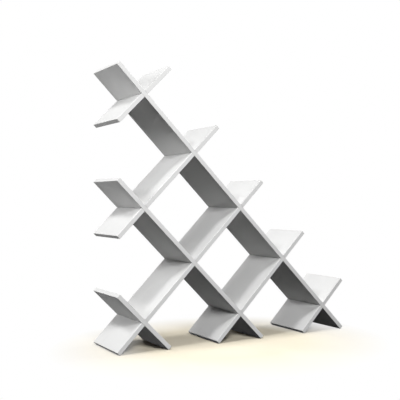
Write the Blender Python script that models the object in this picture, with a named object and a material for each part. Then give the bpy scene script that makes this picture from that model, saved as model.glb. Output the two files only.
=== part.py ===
"""Pyramid bookshelf: a triangular lattice of slotted white boards that cross at right angles.

Falling boards lean one way and rising boards the other, all at 45 degrees. Every crossing is a
cross lap: the falling board is slotted from the back edge and the rising board from the front edge,
each to half the shelf's depth, so the boards slide into each other from front and back. Each board
is a faced panel with edging glued along its long edges and its ends.

Metres, +Z up, front towards -Y. The origin is on the floor, under the middle of the shelf.
"""

import math

import bmesh
import bpy

# Driving dimensions
FEET = 3  # crossed feet along the floor, which is also the number of falling boards
JOINT_SPACING = 0.322  # from one cross lap to the next, along a board
END_OVERHANG = 0.161  # from the last cross lap to the end of a board, edging included
SHELF_DEPTH = 0.250  # front to back, edging included
BOARD_THICKNESS = 0.018
EDGING_THICKNESS = 0.002
EDGING_RADIUS = 0.0015  # of the edging's outer arrises
FOOT_FLAT = 0.002  # width of the flat along each arris that stands on the floor
GLUE_LINE = 0.0003  # between a board and its edging
LAP_CLEARANCE = 0.0003  # between a slot and the board that sits in it

ROUND_STEPS = 3  # facets of a rounded arris

# Finishes: linear colour and roughness
BOARD_FINISH = ((0.86, 0.86, 0.85), 0.25)
EDGING_FINISH = ((0.86, 0.86, 0.85), 0.32)

# What follows from the driving dimensions
LEAN = math.pi / 4
LATTICE_STEP = JOINT_SPACING * math.sin(LEAN)  # from crossing to crossing, across and up
EDGE_LAYER = EDGING_THICKNESS + GLUE_LINE
HALF_DEPTH = SHELF_DEPTH / 2
HALF_THICKNESS = BOARD_THICKNESS / 2
HALF_SLOT = HALF_THICKNESS + LAP_CLEARANCE
FOOT_CHAMFER = FOOT_FLAT * math.sin(LEAN)
LOWEST_JOINT = (END_OVERHANG + HALF_THICKNESS - FOOT_CHAMFER) * math.sin(LEAN)
FRONT, BACK = -1, 1
CIRCULAR = 0.5  # profile of a bevel that follows an arc


def clear_scene():
    for old in list(bpy.data.objects):
        bpy.data.objects.remove(old)


def make_finish(name, finish):
    colour, roughness = finish
    material = bpy.data.materials.new(name)
    material.use_nodes = True
    shader = material.node_tree.nodes["Principled BSDF"]
    shader.inputs["Base Color"].default_value = (*colour, 1.0)
    shader.inputs["Roughness"].default_value = roughness
    shader.inputs["Metallic"].default_value = 0.0
    return material


def add_piece(name, shape, board_frame, finish):
    """A named object in the board's own frame: X along the board, Y to the back, Z through it."""
    bmesh.ops.recalc_face_normals(shape, faces=shape.faces)
    mesh = bpy.data.meshes.new(name)
    shape.to_mesh(mesh)
    shape.free()
    mesh.materials.append(finish)
    piece = bpy.data.objects.new(name, mesh)
    piece.parent = board_frame
    bpy.context.scene.collection.objects.link(piece)
    return piece


def add_board_frame(name, lean, column, row):
    """An empty at the board's first joint, turned so that its X runs along the board."""
    frame = bpy.data.objects.new(name, None)
    frame.location = ((column - (FEET - 1)) * LATTICE_STEP, 0.0, LOWEST_JOINT + row * LATTICE_STEP)
    frame.rotation_euler = (0.0, lean, 0.0)
    bpy.context.scene.collection.objects.link(frame)
    return frame


def block(low, high):
    """A bmesh box between two corners."""
    shape = bmesh.new()
    made = bmesh.ops.create_cube(shape, size=1.0)
    for vertex in made["verts"]:
        vertex.co = [a + (b - a) * (c + 0.5) for a, b, c in zip(low, high, vertex.co)]
    return shape


def edges_on(shape, *planes):
    """The edges that lie in every one of the given planes, each an axis number and a coordinate."""
    near = 1e-6
    return [
        edge
        for edge in shape.edges
        if all(abs(v.co[axis] - at) < near for v in edge.verts for axis, at in planes)
    ]


def ease(shape, arrises):
    bmesh.ops.bevel(
        shape,
        geom=arrises,
        offset=EDGING_RADIUS,
        offset_type="OFFSET",
        segments=ROUND_STEPS,
        profile=CIRCULAR,
        affect="EDGES",
    )


def slot_walls(joint):
    """Where the two walls of the slot at a joint stand, along the board."""
    return joint * JOINT_SPACING - HALF_SLOT, joint * JOINT_SPACING + HALF_SLOT


def core_ends(joints):
    """Where the panel inside the edging starts and stops, along the board."""
    overhang = END_OVERHANG - EDGE_LAYER
    return -overhang, (joints - 1) * JOINT_SPACING + overhang


def make_panel(name, joints, slotted_side, frame, finish):
    """The board's panel: a rectangle with a half-depth slot at every joint, as thick as the board."""
    start, end = core_ends(joints)
    edge = slotted_side * (HALF_DEPTH - EDGE_LAYER)
    slot_end = -slotted_side * LAP_CLEARANCE / 2
    outline = [(start, -edge), (end, -edge), (end, edge)]
    for joint in reversed(range(joints)):
        left, right = slot_walls(joint)
        outline += [(right, edge), (right, slot_end), (left, slot_end), (left, edge)]
    outline.append((start, edge))
    shape = bmesh.new()
    face = shape.faces.new([shape.verts.new((x, y, -HALF_THICKNESS)) for x, y in outline])
    grown = bmesh.ops.extrude_face_region(shape, geom=[face])
    risen = [item for item in grown["geom"] if isinstance(item, bmesh.types.BMVert)]
    bmesh.ops.translate(shape, verts=risen, vec=(0.0, 0.0, BOARD_THICKNESS))
    return add_piece(name, shape, frame, finish)


def make_long_edging(name, start, end, side, frame, finish):
    """One strip of edging along the front or back edge, rounded on its two outer arrises."""
    outer = side * HALF_DEPTH
    inner = side * (HALF_DEPTH - EDGING_THICKNESS)
    low, high = sorted((outer, inner))
    shape = block((start, low, -HALF_THICKNESS), (end, high, HALF_THICKNESS))
    arrises = edges_on(shape, (1, outer), (2, HALF_THICKNESS))
    arrises += edges_on(shape, (1, outer), (2, -HALF_THICKNESS))
    ease(shape, arrises)
    return add_piece(name, shape, frame, finish)


def plane_foot(shape, outer, inner):
    """Plane the lower outer arris to the flat that stands on the floor, level once the board leans."""
    outwards = math.copysign(1.0, outer - inner)
    cut = bmesh.ops.bisect_plane(
        shape,
        geom=[*shape.verts, *shape.edges, *shape.faces],
        plane_co=(outer - outwards * FOOT_CHAMFER, 0.0, -HALF_THICKNESS),
        plane_no=(outwards * math.sin(LEAN), 0.0, -math.cos(LEAN)),
        clear_outer=True,
    )
    rim = [item for item in cut["geom_cut"] if isinstance(item, bmesh.types.BMEdge)]
    bmesh.ops.contextual_create(shape, geom=rim)


def make_end_edging(name, outer, inner, on_floor, frame, finish):
    """The edging on one end of a board, rounded outside, with a flat where it stands on the floor."""
    low, high = sorted((outer, inner))
    shape = block((low, -HALF_DEPTH, -HALF_THICKNESS), (high, HALF_DEPTH, HALF_THICKNESS))
    arrises = edges_on(shape, (0, outer))
    for side in (FRONT, BACK):
        for face in (-HALF_THICKNESS, HALF_THICKNESS):
            arrises += edges_on(shape, (1, side * HALF_DEPTH), (2, face))
    if on_floor:
        floor_arris = edges_on(shape, (0, outer), (2, -HALF_THICKNESS))
        arrises = [edge for edge in arrises if edge not in floor_arris]
    ease(shape, arrises)
    if on_floor:
        plane_foot(shape, outer, inner)
    return add_piece(name, shape, frame, finish)


def edge_board(name, joints, slotted_side, lower_end_on_floor, falling, frame, finish):
    """All the edging of a board: whole on its plain edge, cut between the slots, and on both ends."""
    start, end = core_ends(joints)
    sides = {FRONT: "front", BACK: "back"}
    make_long_edging(f"{name}_{sides[-slotted_side]}_edging", start, end, -slotted_side, frame, finish)
    stops = [start]
    for joint in range(joints):
        stops += slot_walls(joint)
    stops.append(end)
    for number, (left, right) in enumerate(zip(stops[::2], stops[1::2]), start=1):
        strip = f"{name}_{sides[slotted_side]}_edging_{number}"
        make_long_edging(strip, left, right, slotted_side, frame, finish)
    near_end = ("upper" if falling else "lower", -END_OVERHANG, 1)
    far_end = ("lower" if falling else "upper", (joints - 1) * JOINT_SPACING + END_OVERHANG, -1)
    for place, outer, inwards in (near_end, far_end):
        on_floor = place == "lower" and lower_end_on_floor
        inner = outer + inwards * EDGING_THICKNESS
        make_end_edging(f"{name}_{place}_end_edging", outer, inner, on_floor, frame, finish)


def make_falling_board(number, board_finish, edging_finish):
    """A board that falls from left to right and ends in a foot. It is slotted from the back."""
    name = f"falling_board_{number}"
    row = 2 * (number - 1)
    joints = row + 1
    frame = add_board_frame(f"{name}_frame", LEAN, 0, row)
    make_panel(name, joints, BACK, frame, board_finish)
    edge_board(name, joints, BACK, True, True, frame, edging_finish)


def make_rising_board(number, board_finish, edging_finish):
    """A board that rises from left to right, from the side or from a foot. It is slotted from the front."""
    name = f"rising_board_{number}"
    step = number - FEET  # 0 for the board that starts at the left foot
    column, row = max(0, 2 * step), max(0, -2 * step)
    joints = FEET - abs(step)
    frame = add_board_frame(f"{name}_frame", -LEAN, column, row)
    make_panel(name, joints, FRONT, frame, board_finish)
    edge_board(name, joints, FRONT, row == 0, False, frame, edging_finish)


def make_bookshelf():
    clear_scene()
    board_finish = make_finish("white_board", BOARD_FINISH)
    edging_finish = make_finish("white_edging", EDGING_FINISH)
    for number in range(1, FEET + 1):
        make_falling_board(number, board_finish, edging_finish)
    for number in range(1, 2 * FEET):
        make_rising_board(number, board_finish, edging_finish)


make_bookshelf()
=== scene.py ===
import math

import bmesh
import bpy
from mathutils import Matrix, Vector


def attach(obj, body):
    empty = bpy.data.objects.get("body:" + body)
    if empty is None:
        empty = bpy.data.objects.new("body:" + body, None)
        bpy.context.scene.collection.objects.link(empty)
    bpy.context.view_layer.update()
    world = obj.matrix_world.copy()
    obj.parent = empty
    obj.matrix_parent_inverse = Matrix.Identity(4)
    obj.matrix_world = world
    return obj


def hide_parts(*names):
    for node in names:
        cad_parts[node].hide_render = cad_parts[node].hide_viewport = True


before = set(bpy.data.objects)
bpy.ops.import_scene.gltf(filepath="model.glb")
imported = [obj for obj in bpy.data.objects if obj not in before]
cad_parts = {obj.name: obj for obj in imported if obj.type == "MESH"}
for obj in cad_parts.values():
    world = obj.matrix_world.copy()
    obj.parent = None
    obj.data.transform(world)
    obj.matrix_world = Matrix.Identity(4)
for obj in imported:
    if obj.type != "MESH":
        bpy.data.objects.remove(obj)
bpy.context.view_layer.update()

print("frame loaded:", len(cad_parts), "nodes")


# small helpers for node trees, shared by shapes and finishes
def feed(tree, socket, value):
    if isinstance(value, bpy.types.NodeSocket):
        tree.links.new(value, socket)
    else:
        socket.default_value = value


def addNode(tree, kind, settings=None, **sockets):
    node = tree.nodes.new(kind)
    for name, value in (settings or {}).items():
        setattr(node, name, value)
    for name, value in sockets.items():
        feed(tree, node.inputs[name.replace("_", " ")], value)
    return node


def calc(tree, operation, first, second=0.0):
    node = addNode(tree, "ShaderNodeMath", {"operation": operation})
    feed(tree, node.inputs[0], first)
    feed(tree, node.inputs[1], second)
    return node.outputs[0]


def plus(tree, first, second):
    return calc(tree, "ADD", first, second)


def minus(tree, first, second):
    return calc(tree, "SUBTRACT", first, second)


def times(tree, first, second):
    return calc(tree, "MULTIPLY", first, second)


def half(tree, value):
    return times(tree, value, 0.5)


def larger(tree, first, second):
    return calc(tree, "MAXIMUM", first, second)


def unsigned(tree, value):
    return calc(tree, "ABSOLUTE", value)


def gap(tree, first, second):
    # how far apart two values are
    return unsigned(tree, minus(tree, first, second))


def above(tree, value, limit):
    return calc(tree, "GREATER_THAN", value, limit)


def bothAbove(tree, pair, limit):
    first, second = pair
    return times(tree, above(tree, first, limit), above(tree, second, limit))


def vector(tree, x=0.0, y=0.0, z=0.0):
    return addNode(tree, "ShaderNodeCombineXYZ", X=x, Y=y, Z=z).outputs[0]


def split(tree, value):
    return addNode(tree, "ShaderNodeSeparateXYZ", Vector=value).outputs


# the boards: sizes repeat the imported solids, in metres
boards = {
    "spacing": 0.322,      # from one cross lap to the next
    "overhang": 0.161,     # past the last cross lap
    "depth": 0.250,
    "thickness": 0.018,
    "layer": 0.0023,       # edging and glue line together
    "slot": 0.0186,        # width of a slot
    "lapPlay": 0.0003,     # left between the two slot ends
    "cutterSpare": 0.03,   # how far a slot's cutter stands past the board's edge
    "cutterHeight": 3.0,   # in thicknesses of the board
    "seamEase": 0.00012,   # panel's eased arris beside the glue line
    "seamSteps": 1,
    "lean": math.pi / 4,
    "footFlat": 0.002,
    "middleColumn": 2,     # the joints of this column stand at x = 0
    "falling": {1: (1, 0, 0), 2: (3, 0, 2), 3: (5, 0, 4)},  # number: joints, column, row
    "rising": {1: (1, 0, 4), 2: (2, 0, 2), 3: (3, 0, 0), 4: (2, 2, 0), 5: (1, 4, 0)},
}

# how near counts as there, in metres
close = {
    "level": 1e-5,         # both ends of an edge at one height
    "outside": 2e-5,       # a point on a strip's outer face
    "apart": 1e-4,         # clearly past a limit
    "floor": 1e-7,
}


def firstJoint(column, row):
    # columns and rows of joints are counted from the lower left
    slope = math.sin(boards["lean"])
    step = boards["spacing"] * slope
    chamfer = boards["footFlat"] * slope
    lowest = (boards["overhang"] + boards["thickness"] / 2 - chamfer) * slope
    return ((column - boards["middleColumn"]) * step, 0.0, lowest + row * step)


def boardTree(name, extraInputs):
    # a tree that is told a board's sizes; its run goes from the first joint to the last
    tree = bpy.data.node_groups.new(name, "GeometryNodeTree")
    tree.is_modifier = True
    sockets = tree.interface
    sockets.new_socket("Geometry", in_out="OUTPUT", socket_type="NodeSocketGeometry")
    sockets.new_socket("Joints", in_out="INPUT", socket_type="NodeSocketInt")
    for label in ("Spacing", "Overhang", "Depth", "Thickness", "Layer", "Slot Width", "Lap Play",
                  "Slot Side", "Lean", *extraInputs):
        sockets.new_socket(label, in_out="INPUT", socket_type="NodeSocketFloat")
    sockets.new_socket("First Joint", in_out="INPUT", socket_type="NodeSocketVector")
    sockets.new_socket("Finish", in_out="INPUT", socket_type="NodeSocketMaterial")
    given = tree.nodes.new("NodeGroupInput").outputs
    run = times(tree, minus(tree, given["Joints"], 1.0), given["Spacing"])
    return tree, given, run


def panelLength(tree, given, run):
    inside = minus(tree, given["Overhang"], given["Layer"])
    return plus(tree, run, times(tree, inside, 2.0))


def block(tree, x, y, z):
    return addNode(tree, "GeometryNodeMeshCube", Size=vector(tree, x, y, z)).outputs["Mesh"]


def repeat(tree, shape, count, start, step):
    # copies of a shape along a line
    line = addNode(tree, "GeometryNodeMeshLine", Count=count, Start_Location=start, Offset=step)
    copies = addNode(tree, "GeometryNodeInstanceOnPoints",
                     Points=line.outputs["Mesh"], Instance=shape)
    return addNode(tree, "GeometryNodeRealizeInstances", Geometry=copies.outputs[0]).outputs[0]


def cutSlots(tree, given, shape):
    # a slot at every joint, from one long edge to just past the middle
    reach = plus(tree, half(tree, given["Depth"]), boards["cutterSpare"])
    across = plus(tree, reach, half(tree, given["Lap Play"]))
    middle = times(tree, minus(tree, reach, half(tree, across)), given["Slot Side"])
    height = times(tree, given["Thickness"], boards["cutterHeight"])
    cutters = repeat(tree, block(tree, given["Slot Width"], across, height), given["Joints"],
                     vector(tree, y=middle), vector(tree, given["Spacing"]))
    cut = addNode(tree, "GeometryNodeMeshBoolean",
                  {"operation": "DIFFERENCE", "solver": "EXACT"}, Mesh_1=shape, Mesh_2=cutters)
    return cut.outputs["Mesh"]


def keep(tree, shape, name, value, kind="FLOAT", domain="POINT"):
    # a value stored on the mesh
    kept = addNode(tree, "GeometryNodeStoreNamedAttribute", {"data_type": kind, "domain": domain},
                   Geometry=shape, Name=name, Value=value)
    return kept.outputs[0]


def keepSpot(tree, shape):
    # each point keeps its place along, across and through the board for the finishes
    spot = tree.nodes.new("GeometryNodeInputPosition").outputs[0]
    return keep(tree, shape, "boardSpot", spot, kind="FLOAT_VECTOR")


def markEnds(tree, given, run, shape):
    # strips on a board's ends are told apart from those along its sides
    spot = tree.nodes.new("GeometryNodeInputPosition").outputs[0]
    halfRun = half(tree, run)
    away = gap(tree, split(tree, spot)["X"], halfRun)
    reach = minus(tree, plus(tree, halfRun, given["Overhang"]), given["Layer"])
    onEnd = above(tree, away, plus(tree, reach, close["apart"]))
    return keep(tree, shape, "onEnd", onEnd)


def easeEdges(tree, shape, weight):
    return keep(tree, shape, "bevel_weight_edge", weight, domain="EDGE")


def edgeEnds(tree):
    ends = tree.nodes.new("GeometryNodeInputMeshEdgeVertices")
    spots = []
    for label in ("Position 1", "Position 2"):
        apart = split(tree, ends.outputs[label])
        spots.append([apart[axis] for axis in "XYZ"])
    return spots


def setInPlace(tree, given, shape):
    # lean the board, move it to its first joint and give it its finish
    placed = addNode(tree, "GeometryNodeTransform", Geometry=shape,
                     Translation=given["First Joint"], Rotation=vector(tree, y=given["Lean"]))
    whole = addNode(tree, "GeometryNodeRealizeInstances", Geometry=placed.outputs[0])
    done = addNode(tree, "GeometryNodeSetMaterial",
                   Geometry=whole.outputs[0], Material=given["Finish"])
    tree.links.new(done.outputs[0], tree.nodes.new("NodeGroupOutput").inputs[0])


def panelTree():
    # a board without its edging, its seams eased on both faces
    tree, given, run = boardTree("slottedPanel", ())
    across = minus(tree, given["Depth"], times(tree, given["Layer"], 2.0))
    whole = block(tree, panelLength(tree, given, run), across, given["Thickness"])
    blank = addNode(tree, "GeometryNodeTransform", Geometry=whole,
                    Translation=vector(tree, half(tree, run)))
    shape = keepSpot(tree, cutSlots(tree, given, blank.outputs[0]))
    (_, _, z1), (_, _, z2) = edgeEnds(tree)
    level = calc(tree, "LESS_THAN", gap(tree, z1, z2), close["level"])
    setInPlace(tree, given, easeEdges(tree, shape, level))
    return tree


def stripTree():
    # strips round a board's four edges, cut at the slots: edging, and the glue behind it
    tree, given, run = boardTree("edgeStrips", ("Inset", "Strip", "Relief", "Seam Weight"))
    halfRun = half(tree, run)
    halfDepth = half(tree, given["Depth"])
    middle = plus(tree, given["Inset"], half(tree, given["Strip"]))
    side = minus(tree, halfDepth, middle)
    end = minus(tree, given["Overhang"], middle)
    relief = times(tree, given["Relief"], 2.0)
    height = minus(tree, given["Thickness"], relief)
    longStrip = block(tree, panelLength(tree, given, run), given["Strip"], height)
    longStrips = repeat(tree, longStrip, 2, vector(tree, halfRun, times(tree, side, -1.0)),
                        vector(tree, y=times(tree, side, 2.0)))
    endStrip = block(tree, given["Strip"], minus(tree, given["Depth"], relief), height)
    endStrips = repeat(tree, endStrip, 2, vector(tree, times(tree, end, -1.0)),
                       vector(tree, plus(tree, run, times(tree, end, 2.0))))
    joined = tree.nodes.new("GeometryNodeJoinGeometry")
    tree.links.new(longStrips, joined.inputs[0])
    tree.links.new(endStrips, joined.inputs[0])
    slotted = cutSlots(tree, given, joined.outputs[0])
    shape = markEnds(tree, given, run, keepSpot(tree, slotted))
    # outer arrises take the full round, the seams only a touch
    (x1, y1, _), (x2, y2, _) = edgeEnds(tree)
    outerX = minus(tree, plus(tree, halfRun, given["Overhang"]), close["outside"])
    outerY = minus(tree, halfDepth, close["outside"])
    onEnd = bothAbove(tree, [gap(tree, x, halfRun) for x in (x1, x2)], outerX)
    onSide = bothAbove(tree, [unsigned(tree, y) for y in (y1, y2)], outerY)
    along = above(tree, gap(tree, x1, x2), close["apart"])
    outer = larger(tree, times(tree, onSide, along), onEnd)
    weight = larger(tree, outer, given["Seam Weight"])
    setInPlace(tree, given, easeEdges(tree, shape, weight))
    return tree


def makePiece(name, tree, values, ease, steps):
    # a piece from a tree, its edges eased, as a plain mesh
    piece = bpy.data.objects.new(name, bpy.data.meshes.new(name))
    shaped = piece.modifiers.new("shape", "NODES")
    shaped.node_group = tree
    for item in tree.interface.items_tree:
        if item.in_out == "INPUT":
            shaped[item.identifier] = values[item.name]
    eased = piece.modifiers.new("ease", "BEVEL")
    eased.limit_method = "WEIGHT"
    eased.offset_type = "OFFSET"
    eased.width = ease
    eased.segments = steps
    eased.use_clamp_overlap = True
    bpy.context.scene.collection.objects.link(piece)
    made = piece.evaluated_get(bpy.context.evaluated_depsgraph_get())
    plain = bpy.data.meshes.new_from_object(made)
    piece.modifiers.clear()
    piece.data = plain
    plain.name = name
    return piece


def standOnFloor(piece):
    # plane away what would dip under the floor, which leaves the flat of each foot
    shape = bmesh.new()
    shape.from_mesh(piece.data)
    cut = bmesh.ops.bisect_plane(shape, geom=[*shape.verts, *shape.edges, *shape.faces],
                                 dist=close["floor"], plane_co=(0.0, 0.0, 0.0),
                                 plane_no=(0.0, 0.0, -1.0), clear_outer=True)
    rim = [item for item in cut["geom_cut"] if isinstance(item, bmesh.types.BMEdge)]
    if rim:
        bmesh.ops.contextual_create(shape, geom=rim)
    shape.to_mesh(piece.data)
    shape.free()


# finishes: all of them are broken up by the same few kinds of noise
texture = {
    "fine": 2.0,           # layers of detail
    "cloudy": 3.0,
    "ragged": 4.0,
    "usual": (0.3, 0.7),   # where most of a noise's values lie
}


def startFinish(name, specular):
    finish = bpy.data.materials.new(name)
    finish.use_nodes = True
    tree = finish.node_tree
    shader = tree.nodes["Principled BSDF"]
    shader.inputs["Specular IOR Level"].default_value = specular
    return finish, tree, shader


def boardSpot(tree):
    return addNode(tree, "ShaderNodeAttribute", {"attribute_name": "boardSpot"}).outputs["Vector"]


def noise(tree, place, scale, detail):
    return addNode(tree, "ShaderNodeTexNoise",
                   Vector=place, Scale=scale, Detail=detail).outputs["Fac"]


def drawnNoise(tree, place, scales, detail):
    # noise with its own scale along, across and through the board
    drawn = addNode(tree, "ShaderNodeMapping", Vector=place, Scale=scales).outputs[0]
    return noise(tree, drawn, 1.0, detail)


def spread(tree, value, fromLow, fromHigh, toLow, toHigh):
    node = addNode(tree, "ShaderNodeMapRange", {"clamp": True}, Value=value,
                   From_Min=fromLow, From_Max=fromHigh, To_Min=toLow, To_Max=toHigh)
    return node.outputs["Result"]


def patches(tree, place, scale, low=0.0, high=1.0):
    return spread(tree, noise(tree, place, scale, texture["cloudy"]), *texture["usual"], low, high)


def blendColour(tree, share, first, second):
    node = addNode(tree, "ShaderNodeMix", {"data_type": "RGBA"})
    feed(tree, node.inputs["Factor"], share)
    colours = [socket for socket in node.inputs if socket.type == "RGBA"]
    for socket, value in zip(colours, (first, second)):
        feed(tree, socket, value if isinstance(value, bpy.types.NodeSocket) else (*value, 1.0))
    return next(socket for socket in node.outputs if socket.type == "RGBA")


def addRelief(tree, shader, height, depth, strength):
    bump = addNode(tree, "ShaderNodeBump", Strength=strength, Distance=depth, Height=height)
    feed(tree, shader.inputs["Normal"], bump.outputs[0])


laminate = {
    "pale": (0.765, 0.765, 0.760),
    "deep": (0.738, 0.739, 0.735),
    "scuff": (0.69, 0.69, 0.68),
    "specular": 0.01,
    "roughness": (0.44, 0.52),
    "tonePatches": 5.0,    # per metre
    "roughPatches": 16.0,
    "drag": (7.0, 55.0, 55.0),  # marks of things slid in and out, per metre each way
    "dragPeaks": (0.64, 0.78),  # only the noise's peaks leave a mark
    "dragShare": 0.35,
    "dragRough": 0.15,     # roughness that a mark adds
    "pearl": 900.0,        # grains of the pressed surface, per metre
    "pearlDepth": 0.00006,
    "pearlStrength": 0.15,
}


def makeLaminate():
    finish, tree, shader = startFinish("whiteLaminate", laminate["specular"])
    spot = boardSpot(tree)
    tone = patches(tree, spot, laminate["tonePatches"])
    colour = blendColour(tree, tone, laminate["deep"], laminate["pale"])
    drag = drawnNoise(tree, spot, laminate["drag"], texture["ragged"])
    marks = spread(tree, drag, *laminate["dragPeaks"], 0.0, laminate["dragShare"])
    feed(tree, shader.inputs["Base Color"], blendColour(tree, marks, colour, laminate["scuff"]))
    dull = patches(tree, spot, laminate["roughPatches"], *laminate["roughness"])
    rough = plus(tree, dull, times(tree, marks, laminate["dragRough"]))
    feed(tree, shader.inputs["Roughness"], rough)
    pearl = noise(tree, spot, laminate["pearl"], texture["fine"])
    addRelief(tree, shader, pearl, laminate["pearlDepth"], laminate["pearlStrength"])
    return finish


edging = {
    "thickness": 0.002,
    "round": 0.0015,
    "steps": 4,
    "seamWeight": 0.06,    # seams get this share of the round
    "pale": (0.762, 0.762, 0.757),
    "deep": (0.738, 0.738, 0.733),
    "worn": (0.62, 0.61, 0.59),
    "floorMark": (0.52, 0.50, 0.47),
    "specular": 0.015,
    "roughness": (0.40, 0.50),
    "tonePatches": 9.0,    # per metre
    "roughPatches": 24.0,
    "rub": 60.0,           # spots of wear, per metre
    "rubPeaks": (0.55, 0.72),
    "rubShare": 0.3,
    "rubRough": 0.2,       # roughness that wear adds
    "marks": 140.0,        # spots of floor marks, per metre
    "markPeaks": (0.4, 0.7),
    "markShare": 0.6,
    "markHeight": 0.012,   # none above this
    "lines": 1300.0,       # drawn lines across a metre of strip
    "lineStretch": 9.0,    # the same along it
    "lineDepth": 0.00005,
    "lineStrength": 0.15,
}


def drawnLines(tree, spot):
    # the lines run along each strip, so they turn on the strips at a board's ends
    fine, long = edging["lines"], edging["lineStretch"]
    onEnd = addNode(tree, "ShaderNodeAttribute", {"attribute_name": "onEnd"}).outputs["Fac"]
    sideLines = drawnNoise(tree, spot, (long, fine, fine), texture["fine"])
    endLines = drawnNoise(tree, spot, (fine, long, fine), texture["fine"])
    return plus(tree, times(tree, sideLines, minus(tree, 1.0, onEnd)),
                times(tree, endLines, onEnd))


def makeEdging():
    finish, tree, shader = startFinish("whiteEdging", edging["specular"])
    spot = boardSpot(tree)
    tone = patches(tree, spot, edging["tonePatches"])
    colour = blendColour(tree, tone, edging["deep"], edging["pale"])
    # handling wear on the rounded arrises
    face = boards["thickness"] / 2
    through = unsigned(tree, split(tree, spot)["Z"])
    arris = spread(tree, through, face - edging["round"], face, 0.0, 1.0)
    rub = noise(tree, spot, edging["rub"], texture["ragged"])
    wear = times(tree, arris, spread(tree, rub, *edging["rubPeaks"], 0.0, edging["rubShare"]))
    colour = blendColour(tree, wear, colour, edging["worn"])
    # grey marks where the feet meet the floor
    place = tree.nodes.new("ShaderNodeTexCoord").outputs["Object"]
    low = spread(tree, split(tree, place)["Z"], 0.0, edging["markHeight"], 1.0, 0.0)
    marks = noise(tree, place, edging["marks"], texture["ragged"])
    soiled = times(tree, low, spread(tree, marks, *edging["markPeaks"], 0.0, edging["markShare"]))
    feed(tree, shader.inputs["Base Color"], blendColour(tree, soiled, colour, edging["floorMark"]))
    dull = patches(tree, spot, edging["roughPatches"], *edging["roughness"])
    rough = plus(tree, dull, times(tree, wear, edging["rubRough"]))
    feed(tree, shader.inputs["Roughness"], rough)
    addRelief(tree, shader, drawnLines(tree, spot), edging["lineDepth"], edging["lineStrength"])
    return finish


glue = {
    "thickness": 0.0003,
    "relief": 0.0002,      # how far the glue stays back from the faces
    "steps": 1,
    "pale": (0.74, 0.71, 0.64),
    "deep": (0.60, 0.56, 0.48),
    "specular": 0.3,
    "roughness": (0.5, 0.7),
    "grain": 220.0,        # per metre
    "grainDepth": 0.0001,
    "grainStrength": 0.3,
}


def makeGlue():
    finish, tree, shader = startFinish("glueLine", glue["specular"])
    grain = noise(tree, boardSpot(tree), glue["grain"], texture["cloudy"])
    share = spread(tree, grain, *texture["usual"], 0.0, 1.0)
    feed(tree, shader.inputs["Base Color"], blendColour(tree, share, glue["deep"], glue["pale"]))
    rough = spread(tree, grain, *texture["usual"], *glue["roughness"])
    feed(tree, shader.inputs["Roughness"], rough)
    addRelief(tree, shader, grain, glue["grainDepth"], glue["grainStrength"])
    return finish


finishes = {"panel": makeLaminate(), "edging": makeEdging(), "glue": makeGlue()}
print("finishes:", ", ".join(finish.name for finish in finishes.values()))


# dress every board
trees = {"panel": panelTree(), "strips": stripTree()}


def boardValues(joints, column, row, lean, slotSide):
    return {
        "Joints": joints, "Spacing": boards["spacing"], "Overhang": boards["overhang"],
        "Depth": boards["depth"], "Thickness": boards["thickness"], "Layer": boards["layer"],
        "Slot Width": boards["slot"], "Lap Play": boards["lapPlay"], "Slot Side": slotSide,
        "Lean": lean, "First Joint": firstJoint(column, row),
    }


def dressBoard(node, values):
    panel = makePiece(f"{node}_face", trees["panel"], {**values, "Finish": finishes["panel"]},
                      boards["seamEase"], boards["seamSteps"])
    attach(panel, "root")
    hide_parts(node)

    strips = {**values, "Inset": 0.0, "Strip": edging["thickness"], "Relief": 0.0,
              "Seam Weight": edging["seamWeight"], "Finish": finishes["edging"]}
    band = makePiece(f"{node}_band", trees["strips"], strips, edging["round"], edging["steps"])
    standOnFloor(band)
    stripNodes = [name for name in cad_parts
                  if name.startswith(f"{node}_") and "edging" in name]
    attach(band, "root")
    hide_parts(*stripNodes)

    lines = {**values, "Inset": edging["thickness"], "Strip": glue["thickness"],
             "Relief": glue["relief"], "Seam Weight": 0.0, "Finish": finishes["glue"]}
    line = makePiece(f"{node}_glue_line", trees["strips"], lines, glue["relief"], glue["steps"])
    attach(line, "root")


# falling boards are slotted from the back edge, rising boards from the front
for kind, lean, slotSide in (("falling", boards["lean"], 1.0), ("rising", -boards["lean"], -1.0)):
    for number, place in boards[kind].items():
        dressBoard(f"{kind}_board_{number}", boardValues(*place, lean, slotSide))
print("boards dressed:", len(boards["falling"]) + len(boards["rising"]))


# plain white behind everything, shared by the floor's far part and the sky
backdrop = {"colour": (1.0, 1.0, 1.0, 1.0), "glow": 1.0}


def mixShaders(tree, share, first, second):
    node = tree.nodes.new("ShaderNodeMixShader")
    feed(tree, node.inputs[0], share)
    tree.links.new(first, node.inputs[1])
    tree.links.new(second, node.inputs[2])
    return node.outputs[0]


def mirroredRay(tree, path):
    return larger(tree, path.outputs["Is Glossy Ray"], path.outputs["Is Transmission Ray"])


# pale floor: warm round the shelf, quiet in its bounce, white further out
floor = {
    "size": 60.0,
    "drop": 0.0004,        # just under the feet
    "warm": (0.86, 0.79, 0.64),
    "bounce": (0.02, 0.02, 0.02),
    "middle": (-0.075, -0.1),
    "reach": (0.75, 0.63),  # how far the warm floor goes, across and in depth
    "fade": (0.47, 1.0),    # shares of the reach where it turns white
}


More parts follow.
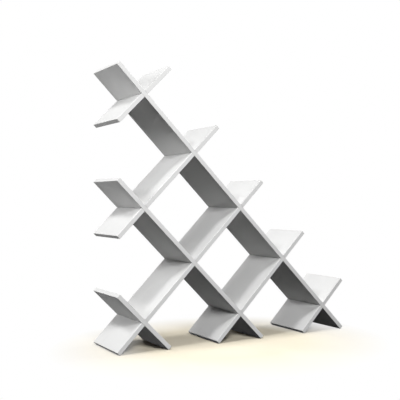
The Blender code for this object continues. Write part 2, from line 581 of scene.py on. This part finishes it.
def makeFloorFinish():
    finish = bpy.data.materials.new("paleFloor")
    finish.cycles.emission_sampling = "NONE"  # the white is only seen, the floor is no lamp
    finish.use_nodes = True
    tree = finish.node_tree
    tree.nodes.remove(tree.nodes["Principled BSDF"])
    place = tree.nodes.new("ShaderNodeTexCoord").outputs["Object"]
    (middleX, middleY), (reachX, reachY) = floor["middle"], floor["reach"]
    share = addNode(tree, "ShaderNodeMapping", Vector=place, Scale=(1 / reachX, 1 / reachY, 0.0),
                    Location=(-middleX / reachX, -middleY / reachY, 0.0))
    away = addNode(tree, "ShaderNodeVectorMath", {"operation": "LENGTH"}, Vector=share.outputs[0])
    far = spread(tree, away.outputs["Value"], *floor["fade"], 0.0, 1.0)
    warm = addNode(tree, "ShaderNodeBsdfDiffuse", Color=(*floor["warm"], 1.0)).outputs[0]
    white = addNode(tree, "ShaderNodeEmission",
                    Color=backdrop["colour"], Strength=backdrop["glow"]).outputs[0]
    quiet = addNode(tree, "ShaderNodeBsdfDiffuse", Color=(*floor["bounce"], 1.0)).outputs[0]
    path = tree.nodes.new("ShaderNodeLightPath")
    seen = mixShaders(tree, far, warm, white)
    unseen = mixShaders(tree, mirroredRay(tree, path), quiet, white)
    whole = mixShaders(tree, path.outputs["Is Camera Ray"], unseen, seen)
    tree.links.new(whole, tree.nodes["Material Output"].inputs["Surface"])
    return finish


def layFloor():
    edge = floor["size"] / 2
    corners = [(-edge, -edge, 0), (edge, -edge, 0), (edge, edge, 0), (-edge, edge, 0)]
    mesh = bpy.data.meshes.new("floor")
    mesh.from_pydata(corners, [], [(0, 1, 2, 3)])
    mesh.materials.append(makeFloorFinish())
    piece = bpy.data.objects.new("floor", mesh)
    piece.location.z = -floor["drop"]
    bpy.context.scene.collection.objects.link(piece)


layFloor()
print("floor laid")


# soft studio light
light = {
    "sky": 0.01,           # what it gives the boards; the camera sees it white
    "farAway": 5.0,        # where the far lamps hang, which doesn't change their light
    "far": {  # where it stands: degrees round from the front, and up; softness in degrees; strength
        "key": (293.0, 61.5, 10.0, 1.27),
        "front": (0.0, 10.0, 6.0, 0.39),
        "right": (95.0, 6.0, 8.0, 0.7),
        "back": (192.0, 31.0, 8.0, 0.41),
        "behind": (180.0, 2.0, 2.0, 1.2),  # low, so that it reaches only the rear edges
    },
    "near": {  # place, aim, size across, watts
        "frontLeft": ((-1.0, -2.4, 1.8), (0.0, 0.0, 0.6), 0.8, 58.0),
        "left": ((-2.4, 0.2, 1.4), (0.0, 0.0, 0.7), 0.8, 18.0),
        "overRight": ((0.9, 0.0, 3.2), (0.27, 0.0, 0.0), 0.8, 32.0),
    },
}


def makeWorld():
    world = bpy.data.worlds.new("studio")
    bpy.context.scene.world = world
    world.use_nodes = True
    tree = world.node_tree
    sky = tree.nodes["Background"]
    sky.inputs["Color"].default_value = backdrop["colour"]
    sky.inputs["Strength"].default_value = light["sky"]
    white = addNode(tree, "ShaderNodeBackground",
                    Color=backdrop["colour"], Strength=backdrop["glow"])
    path = tree.nodes.new("ShaderNodeLightPath")
    seen = larger(tree, path.outputs["Is Camera Ray"], mirroredRay(tree, path))
    mixed = mixShaders(tree, seen, sky.outputs[0], white.outputs[0])
    tree.links.new(mixed, tree.nodes["World Output"].inputs["Surface"])


def hangLamp(name, data, place, aim):
    lamp = bpy.data.objects.new(name, data)
    lamp.location = place
    lamp.rotation_euler = (Vector(aim) - Vector(place)).to_track_quat("-Z", "Y").to_euler()
    lamp.visible_glossy = False  # no glare on boards seen edge on
    bpy.context.scene.collection.objects.link(lamp)


def farLamp(name, around, up, softness, strength):
    data = bpy.data.lights.new(name, "SUN")
    data.angle = math.radians(softness)
    data.energy = strength
    a, e = math.radians(around), math.radians(up)
    way = Vector((math.sin(a) * math.cos(e), -math.cos(a) * math.cos(e), math.sin(e)))
    hangLamp(name, data, light["farAway"] * way, (0.0, 0.0, 0.0))


def nearLamp(name, place, aim, across, watts):
    data = bpy.data.lights.new(name, "AREA")
    data.shape = "DISK"
    data.size = across
    data.energy = watts
    hangLamp(name, data, place, aim)


makeWorld()
for name, settings in light["far"].items():
    farLamp(name, *settings)
for name, settings in light["near"].items():
    nearLamp(name, *settings)
print("lamps hung:", len(light["far"]) + len(light["near"]))


# camera, standing level at the photograph's viewpoint
shot = {
    "place": (-1.6403, -2.6045, 0.6069),
    "turn": -30.11,        # degrees from straight ahead
    "lens": 62.06,
    "sensor": 36.0,
}


def placeCamera():
    data = bpy.data.cameras.new("camera")
    data.sensor_width = shot["sensor"]
    data.lens = shot["lens"]
    camera = bpy.data.objects.new("camera", data)
    camera.location = shot["place"]
    camera.rotation_euler = (math.pi / 2, 0.0, math.radians(shot["turn"]))
    bpy.context.scene.collection.objects.link(camera)
    bpy.context.scene.camera = camera


placeCamera()
bpy.context.scene.view_settings.view_transform = "Standard"
print("camera placed")
